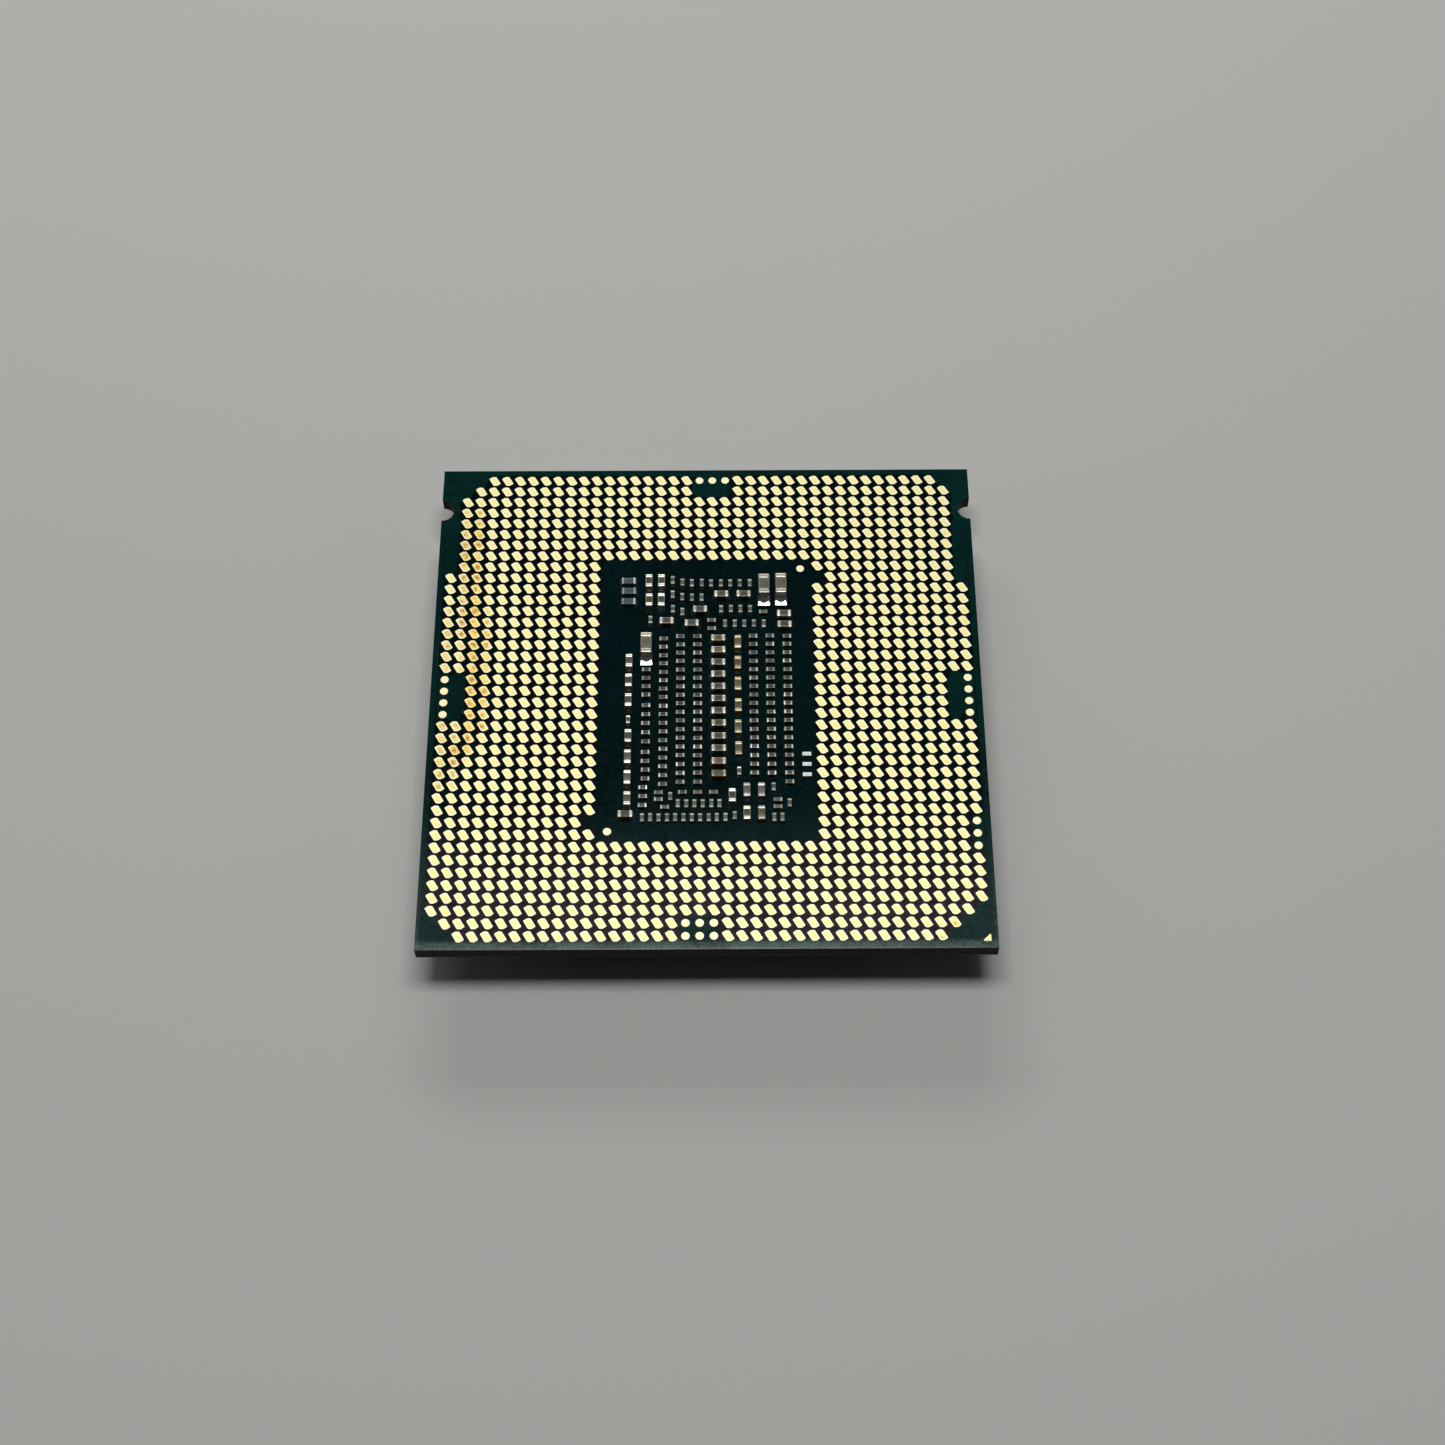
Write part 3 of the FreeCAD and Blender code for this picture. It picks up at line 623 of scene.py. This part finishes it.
def board_outline(inset):
    """The notched square, anticlockwise from the front left corner, pulled in by an inset."""
    radius = NOTCH_RADIUS + inset
    side = half_board - inset
    start = math.acos(inset / radius)
    angles = [start * (2 * k / NOTCH_STEPS - 1) for k in range(NOTCH_STEPS + 1)]
    points = [(-side, -side), (side, -side)]
    for angle in angles:
        points.append((half_board - radius * math.cos(angle), NOTCH_Y + radius * math.sin(angle)))
    points += [(side, side), (-side, side)]
    for angle in angles[::-1]:
        points.append((radius * math.cos(angle) - half_board, NOTCH_Y + radius * math.sin(angle)))
    return points


def rolled(outline, inset):
    """The film's height at each point of an outline at an inset in millimetres."""
    heights = []
    for _, y in outline:
        reach = FRONT_ROLL if y < 0 else OTHER_ROLL
        share = max(0.0, 1 - inset / reach)
        heights.append(MASK_TOP - ROLL_DROP * share ** 2)
    return heights


def triangulate(outer, holes):
    """A region with holes as triangles of point numbers, and each point's number as it was given."""
    points = [Vector(p) for p in outer]
    edges = [(k, (k + 1) % len(outer)) for k in range(len(outer))]
    for hole in holes:
        first = len(points)
        points += [Vector(p) for p in hole]
        edges += [(first + k, first + (k + 1) % len(hole)) for k in range(len(hole))]
    faces = [list(range(len(outer)))]
    first = len(outer)
    for hole in holes:
        faces.append(list(range(first, first + len(hole))))
        first += len(hole)
    _, _, triangles, point_origins, _, face_origins = delaunay_2d_cdt(points, edges, faces, 1, 1e-9)
    kept = [tuple(t) for t, origin in zip(triangles, face_origins) if origin == [0]]
    given = [origin[0] if origin else None for origin in point_origins]
    return kept, given


def mask_openings():
    """The outlines of the mask's openings, one over each land, disc and marker."""
    openings = []
    for node in LAND_NODES:
        openings += [moved(land_outline(2), centre) for centre in land_centres[node]]
    for box in test_boxes + mark_boxes:
        openings.append(moved(disc_outline(half_width(box), 16), centre_of(box)))
    openings.append(moved(marker_outline(marker_box), centre_of(marker_box)))
    return openings


def solder_mask():
    """The opened film: rolled outer edge, a sloped edge at each opening, and a dark band of painted shade
    about each opening.
    """
    build = Build()
    outline = board_outline(0.0)
    low_numbers = build.ring(outline, mask_low)
    ring = build.ring(outline, rolled(outline, 0.0))
    build.bridge(low_numbers, ring, "mask")
    for inset in ROLL_STEPS:
        outline = board_outline(inset * MM)
        following = build.ring(outline, rolled(outline, inset))
        build.bridge(ring, following, "mask")
        ring = following
    top_numbers = ring

    openings = mask_openings()
    banded = [grown(opening, OPENING_SHADE_BAND) for opening in openings]
    for opening, band in zip(openings, banded):
        foot = build.ring(opening, mask_low)
        lip = build.ring(opening, MASK_TOP - OPENING_DROP)
        rim = build.ring(grown(opening, OPENING_SLOPE), MASK_TOP)
        outer = build.ring(band, MASK_TOP)
        # The opening's walls and the band about it take the darker ink, painted shade.
        build.bridge(lip, foot, "mask_edge")
        build.bridge(rim, lip, "mask_edge")
        build.bridge(outer, rim, "mask_edge")
        top_numbers += outer
        low_numbers += foot

    centres = np.array([centre[:2] for node in LAND_NODES for centre in land_centres[node]])
    triangles, given = triangulate(outline, banded)
    for triangle in triangles:
        corners = [top_numbers[given[k]] for k in triangle]
        middle = np.mean([build.points[c][:2] for c in corners], axis=0)
        close = np.abs(centres - middle).max(axis=1).min() < FIELD_REACH
        build.face(corners, "mask_field" if close else "mask")
    triangles, given = triangulate(board_outline(0.0), openings)
    for triangle in triangles:
        build.face([low_numbers[given[k]] for k in triangle][::-1], "mask")
    build.piece("land_side_mask", ["solder_mask_land_side"], "solder_mask")


# ---------------------------------------------------------------- chip parts

def add_rounded_block(build, centre, size, radii, paint, top=None, edge=None, steps=2, lean=0.0):
    """A block with rounded edges, from a cube whose faces are grids drawn in to their corners."""
    half = [s / 2 for s in size]
    radii = [min(r, 0.95 * h) for r, h in zip(radii, half)]
    inner = [h - r for h, r in zip(half, radii)]
    marks = []
    for k in range(steps + 1):
        marks.append((-1, -math.tan(math.pi / 4 * (1 - k / steps))))
    for k in range(steps + 1):
        marks.append((1, math.tan(math.pi / 4 * k / steps)))
    numbers = {}

    def corner(key, sides, raw):
        if key not in numbers:
            length = math.sqrt(sum(r * r for r in raw))
            place = [centre[a] + sides[a] * inner[a] + radii[a] * raw[a] / length for a in range(3)]
            place[2] += lean * (place[1] - centre[1])
            numbers[key] = len(build.points)
            build.points.append(tuple(place))
        return numbers[key]

    # Where an edge paint is given it covers the top's border and the upper half of each side; on the
    # ceramics it is a painted highlight.
    def paint_at(axis, sign, i, j):
        if axis == 2 and sign == 1:
            return (top or paint) if i == j == steps else (edge or paint)
        upper = j > steps if axis == 0 else i > steps
        return edge if edge and axis != 2 and upper else paint

    count = len(marks)
    for axis in range(3):
        u, v = (axis + 1) % 3, (axis + 2) % 3
        for sign in (-1, 1):
            grid = []
            for i in range(count):
                row = []
                for j in range(count):
                    sides, raw = [0, 0, 0], [0.0, 0.0, 0.0]
                    sides[axis], raw[axis] = sign, float(sign)
                    sides[u], raw[u] = marks[i]
                    sides[v], raw[v] = marks[j]
                    key = tuple((sides[a], round(raw[a], 5)) for a in range(3))
                    row.append(corner(key, sides, raw))
                grid.append(row)
            for i in range(count - 1):
                for j in range(count - 1):
                    quad = (grid[i][j], grid[i + 1][j], grid[i + 1][j + 1], grid[i][j + 1])
                    build.face(quad if sign == 1 else quad[::-1], paint_at(axis, sign, i, j))


SOLDER_SHARES = (0.04, 0.10, 0.18, 0.30, 0.50, 0.75, 1.0)
SOLDER_TUCK, SOLDER_BACK, SOLDER_SINK = 0.012 * MM, 0.02 * MM, 0.01 * MM
SOLDER_TURNS = 5
# The solder's rise as a share of the terminal's height, and its flare as a share of the terminal's width.
RISE_LEAST, RISE_MOST = 0.30, 0.48
SOLDER_FLARE = 0.07
# How steeply the meniscus falls.
MENISCUS = 1.35
# A pool of solder: its gentle slope, and where it starts at its corners and in its middle.
POOL_SLOPE = 0.22
POOL_CORNER, POOL_MIDDLE = 0.20, 0.85
POOL_POINTS = 5


def solder_level(share, rise, toe, start):
    """Height of the solder at a share of its run: a steep meniscus, or one that ends in a gentle pool."""
    if start is None:
        return rise * (1 - share) ** MENISCUS
    pool = POOL_SLOPE * toe
    return (rise - pool) * max(0.0, 1 - share / start) ** 2 + pool * (1 - share)


def solder_plan(low, high, reach, share, between):
    """The solder's outline at a share of its reach: an arc at each corner, and points between them."""
    arcs = []
    for quarter in range(4):
        sign_x = 1 if quarter in (0, 3) else -1
        sign_y = 1 if quarter in (0, 1) else -1
        corner_x = (high[0] if sign_x > 0 else low[0]) - sign_x * SOLDER_TUCK
        corner_y = (high[1] if sign_y > 0 else low[1]) - sign_y * SOLDER_TUCK
        arc = []
        for k in range(SOLDER_TURNS):
            angle = math.pi / 2 * (quarter + k / (SOLDER_TURNS - 1))
            arc.append((
                corner_x + math.cos(angle) * reach[0][sign_x] * share,
                corner_y + math.sin(angle) * reach[1][sign_y] * share,
            ))
        arcs.append(arc)
    plan = []
    for arc, following in zip(arcs, arcs[1:] + arcs[:1]):
        start, end = arc[-1], following[0]
        plan += arc
        for k in range(1, between + 1):
            part = k / (between + 1)
            plan.append((start[0] + part * (end[0] - start[0]), start[1] + part * (end[1] - start[1])))
    return plan


def add_solder(build, low, high, toe, axis, side, height, paint, pooled):
    """Solder round a terminal's foot, longest at the chip part's end."""
    across = 1 - axis
    rise = height * chance.uniform(RISE_LEAST, RISE_MOST)
    width = high[across] - low[across]
    flare = SOLDER_FLARE * width
    reach = {axis: {side: toe, -side: SOLDER_BACK}, across: {1: flare, -1: flare}}
    middle = [(low[k] + high[k]) / 2 for k in range(2)]
    rings = []
    for share in SOLDER_SHARES:
        plan = solder_plan(low, high, reach, share, POOL_POINTS if pooled else 0)
        levels = []
        for point in plan:
            start = None
            if pooled:
                inwards = max(0.0, 1 - abs(point[across] - middle[across]) / (width / 2))
                start = POOL_CORNER + (POOL_MIDDLE - POOL_CORNER) * inwards
            levels.append(MASK_TOP + solder_level(share, rise, toe, start))
        rings.append(build.ring(plan, levels))
    foot = build.ring(plan, MASK_TOP - SOLDER_SINK)
    build.floor(foot, paint)
    build.bridge(foot, rings[-1], paint)
    for outer, inner in zip(rings[::-1], rings[-2::-1]):
        build.bridge(outer, inner, paint)
    build.fan(rings[0], (*middle, MASK_TOP + rise), paint)


BANKS = {
    "resistors": ("flat", "alumina", "tin_dull"),
    "large_capacitors": ("large", "ceramic_large", "tin_smooth"),
    "medium_capacitors_back": ("medium", "ceramic_brown", "tin"),
    "medium_capacitors_left": ("medium", "ceramic_grey", "tin"),
    "medium_capacitors_centre": ("medium", "ceramic_brown", "tin"),
    "medium_capacitors_right": ("medium", "ceramic_olive", "tin_warm"),
    "medium_capacitors_front": ("medium", "ceramic_taupe", "tin_dull"),
    "small_capacitors_back": ("small", "ceramic_plain", "tin_grey"),
    "small_capacitors_left": ("small", "ceramic_small", "tin_dull"),
    "small_capacitors_centre": ("small", "ceramic_small", "tin_dull"),
    "small_capacitors_right": ("small", "ceramic_small", "tin_dull"),
    "small_capacitors_front": ("small", "ceramic_plain", "tin_grey"),
}
# Single chip parts that differ from their bank, counted from the front left.
ODD_ONES = {
    ("medium_capacitors_centre", 0): ("ceramic_olive", "tin_warm"),
    ("medium_capacitors_centre", 1): ("ceramic_pink", "tin"),
    ("medium_capacitors_centre", 10): ("ceramic_tan", "tin"),
    ("medium_capacitors_centre", 11): ("ceramic_tan", "tin"),
    ("medium_capacitors_front", 0): ("ceramic_brown", "tin"),
    ("medium_capacitors_front", 1): ("ceramic_olive", "tin_dull"),
    ("medium_capacitors_front", 2): ("ceramic_brown", "tin"),
}


# How far a chip part is off its place, and how it leans, as a slope.
CHIP_SHIFT = 0.015 * MM
LEAN_LEAST, LEAN_MOST = -0.05, 0.09
# How far the ceramic runs on under its terminals, both ends together.
CERAMIC_OVERLAP = 0.06 * MM
# Edge radii as shares of the chip part's height, and the dome along it as a share of the terminal's length.
CERAMIC_ROUNDING = 0.10
END_ROUNDING, END_TOP_ROUNDING = 0.14, 0.08
END_DOME = {"flat": 0.42, "small": 0.42, "medium": 0.42, "large": 0.28}
# Two boxes meet when they are closer than this, and overlap when they share more than this.
MEETING, OVERLAPPING = 0.002 * MM, 0.02 * MM


def touching(box, others, slack):
    """Those boxes that meet a box within a slack, in plan."""
    found = []
    for other in others:
        apart = np.maximum(other[0][:2] - box[1][:2], box[0][:2] - other[1][:2])
        if apart.max() < slack:
            found.append(other)
    return found


def long_axis(pair):
    """0 where a chip part's two ends lie apart along X, 1 where they lie apart along Y."""
    apart = np.abs(centre_of(pair[0]) - centre_of(pair[1]))
    return 0 if apart[0] > apart[1] else 1


def add_end(build, end, shift, centre, axis, height, size, lean, paint):
    """One wrapped terminal, domed along the chip part, that leans with it."""
    middle = centre_of(end) + shift
    middle[2] += lean * (middle[1] - centre[1])
    extent = end[1] - end[0]
    radii = [END_ROUNDING * height, END_ROUNDING * height, END_TOP_ROUNDING * height]
    radii[axis] = END_DOME[size] * extent[axis]
    add_rounded_block(build, middle, extent, radii, paint, steps=3, lean=lean)


def bank(name, solder_boxes, solder_builds):
    """One bank of chip parts: its ceramics, its terminals, and its solder."""
    size, body_paint, end_paint = BANKS[name]
    bodies, terminals = Build(), Build()
    ends = solids(name + "_terminals")
    for number, box in enumerate(solids(name + "_bodies")):
        pair = touching(box, ends, MEETING)
        body, tip = ODD_ONES.get((name, number), (body_paint, end_paint))
        axis = long_axis(pair)
        height = pair[0][1][2] - pair[0][0][2]
        shift = np.array([chance.uniform(-1, 1), chance.uniform(-1, 1), 0.0]) * CHIP_SHIFT
        centre = centre_of(box) + shift
        extent = box[1] - box[0]
        extent[axis] += CERAMIC_OVERLAP
        radii = [CERAMIC_ROUNDING * height] * 3
        top = "glaze" if name == "resistors" else None
        # The paler edge paint is a painted highlight on the ceramic's edges.
        edge = body + "_edge" if body in PAINTED_EDGE_HIGHLIGHT_CERAMICS else body
        lean = chance.uniform(LEAN_LEAST, LEAN_MOST)
        add_rounded_block(bodies, centre, extent, radii, body, top, edge, lean=lean)
        for end in pair:
            add_end(terminals, end, shift, centre, axis, height, size, lean, tip)
            side = 1 if centre_of(end)[axis] > centre_of(box)[axis] else -1
            joint = touching(end, solder_boxes, -OVERLAPPING)[0]
            toe = joint[1][axis] - end[1][axis] if side > 0 else end[0][axis] - joint[0][axis]
            pooled = size == "large" and side < 0
            # All joints but the large parts' front pools take the darker solder, painted shade.
            paint = "solder" if pooled else "solder_dull"
            low, high = end[0] + shift, end[1] + shift
            add_solder(solder_builds[size], low, high, toe, axis, side, height, paint, pooled)
    bodies.piece(name + "_ceramic", [name + "_bodies"], slot_of(name + "_bodies"))
    terminals.piece(name + "_ends", [name + "_terminals"], slot_of(name + "_terminals"))


def slot_of(node):
    """The material slot that the record gives a CAD node."""
    for entry in frame["record"]["subparts"]:
        if entry["node"] == node:
            return entry["material_slot"]
    raise ValueError(node)


def chip_parts():
    """Every bank of chip parts, and the solder of each size as one piece."""
    solder_builds = {size: Build() for size in ("small", "medium", "large", "flat")}
    solder_boxes = {size: solids("solder_joints_" + size) for size in solder_builds}
    for name in BANKS:
        bank(name, solder_boxes[BANKS[name][0]], solder_builds)
    for size, build in solder_builds.items():
        build.piece("solder_fillets_" + size, ["solder_joints_" + size], "solder", smooth=60.0)


# ---------------------------------------------------------------- ink, and nodes that keep their meshes

INK_THICKNESS = 0.016 * MM

NODE_PAINTS = {
    "substrate_core": "core",
    "buildup_land_side": "buildup",
    "buildup_die_side": "buildup",
    "solder_mask_die_side": "mask",
    "ground_plane": "copper",
    "power_plane": "copper",
    "core_vias": "copper",
    "pin_one_marker_die_side": "land",
    "heat_spreader": "nickel",
    "lid_adhesive": "sealant",
    "thermal_compound": "paste",
    "silicon_die": "silicon",
    "solder_bumps": "solder",
    "underfill": "underfill",
}


def printed_bars():
    """The plain ink bars, a little raised and rounded, on top of the mask."""
    build = Build()
    for box in solids("printed_bars"):
        middle = centre_of(box)
        extent = box[1] - box[0]
        middle[2] = MASK_TOP + INK_THICKNESS / 4
        extent[2] = INK_THICKNESS
        add_rounded_block(build, middle, extent, [INK_THICKNESS / 2] * 3, "ink", steps=3)
    build.piece("printed_bars_ink", ["printed_bars"], "ink")


def paint_nodes():
    """The CAD nodes that keep their own meshes get their materials."""
    for node, paint in NODE_PAINTS.items():
        mesh = frame["nodes"][node].data
        mesh.materials.clear()
        mesh.materials.append(MATERIALS[paint])


# ---------------------------------------------------------------- studio

FLOOR_HALF = 1.6
AIM = Vector((0, 0, 0.004))
# Each light's name, place in metres, size in metres, and watts.
SOFTBOXES = (
    ("top_softbox", (0.0, 0.04, 0.42), (0.26, 0.10), 1.10),
    ("back_softbox", (-0.04, 0.36, 0.18), (0.30, 0.10), 0.70),
    ("left_softbox", (-0.36, 0.0, 0.16), (0.2, 0.12), 0.06),
    ("right_softbox", (0.36, -0.02, 0.16), (0.2, 0.12), 0.03),
)


def floor():
    """The pale surface that the part lies on."""
    mesh = bpy.data.meshes.new("floor")
    corners = [(x * FLOOR_HALF, y * FLOOR_HALF, 0) for x, y in ((-1, -1), (1, -1), (1, 1), (-1, 1))]
    mesh.from_pydata(corners, [], [(0, 1, 2, 3)])
    made = bpy.data.objects.new("floor", mesh)
    bpy.context.scene.collection.objects.link(made)
    paint = Paint("floor", roughness=0.85, specular=0.1)
    paint.set("Base Color", tone(184, 185, 181))
    mesh.materials.append(paint.material)


def lighting():
    """Soft light from above and behind, in a nearly black surround that keeps the mask dark."""
    scene = bpy.context.scene
    scene.view_settings.view_transform = "Standard"
    world = bpy.data.worlds.new("surround")
    world.use_nodes = True
    background = world.node_tree.nodes["Background"].inputs
    background["Color"].default_value = (0.93, 0.96, 1.0, 1.0)
    background["Strength"].default_value = 0.012
    scene.world = world
    for name, place, size, power in SOFTBOXES:
        light = bpy.data.lights.new(name, "AREA")
        light.shape = "RECTANGLE"
        light.size, light.size_y = size
        light.energy = power
        lamp = bpy.data.objects.new(name, light)
        lamp.location = place
        lamp.rotation_mode = "QUATERNION"
        lamp.rotation_quaternion = (AIM - Vector(place)).to_track_quat("-Z", "Y")
        scene.collection.objects.link(lamp)


# The viewer's place in millimetres, from the middle of the lands' top, and how it looks, in degrees.
CAMERA_PLACE = (0.6848, -81.782, 140.4386)
CAMERA_AZIMUTH, CAMERA_ELEVATION = 0.290, 60.427
SENSOR_WIDTH, FOCAL_LENGTH = 36.0, 59.63


def camera():
    """The viewer, well above and almost square to the front edge."""
    data = bpy.data.cameras.new("camera")
    data.sensor_width = SENSOR_WIDTH
    data.lens = FOCAL_LENGTH
    data.clip_start, data.clip_end = 0.01, 10.0
    made = bpy.data.objects.new("camera", data)
    lands_top = Vector((0.0, 0.0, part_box("lands_back")[1].z))
    made.location = lands_top + Vector(CAMERA_PLACE) * MM
    azimuth, elevation = math.radians(CAMERA_AZIMUTH), math.radians(CAMERA_ELEVATION)
    forward = Vector((
        math.sin(azimuth) * math.cos(elevation),
        math.cos(azimuth) * math.cos(elevation),
        -math.sin(elevation),
    ))
    made.rotation_mode = "QUATERNION"
    made.rotation_quaternion = forward.to_track_quat("-Z", "Y")
    bpy.context.scene.collection.objects.link(made)
    bpy.context.scene.camera = made


lands()
solder_mask()
chip_parts()
printed_bars()
paint_nodes()
floor()
lighting()
camera()
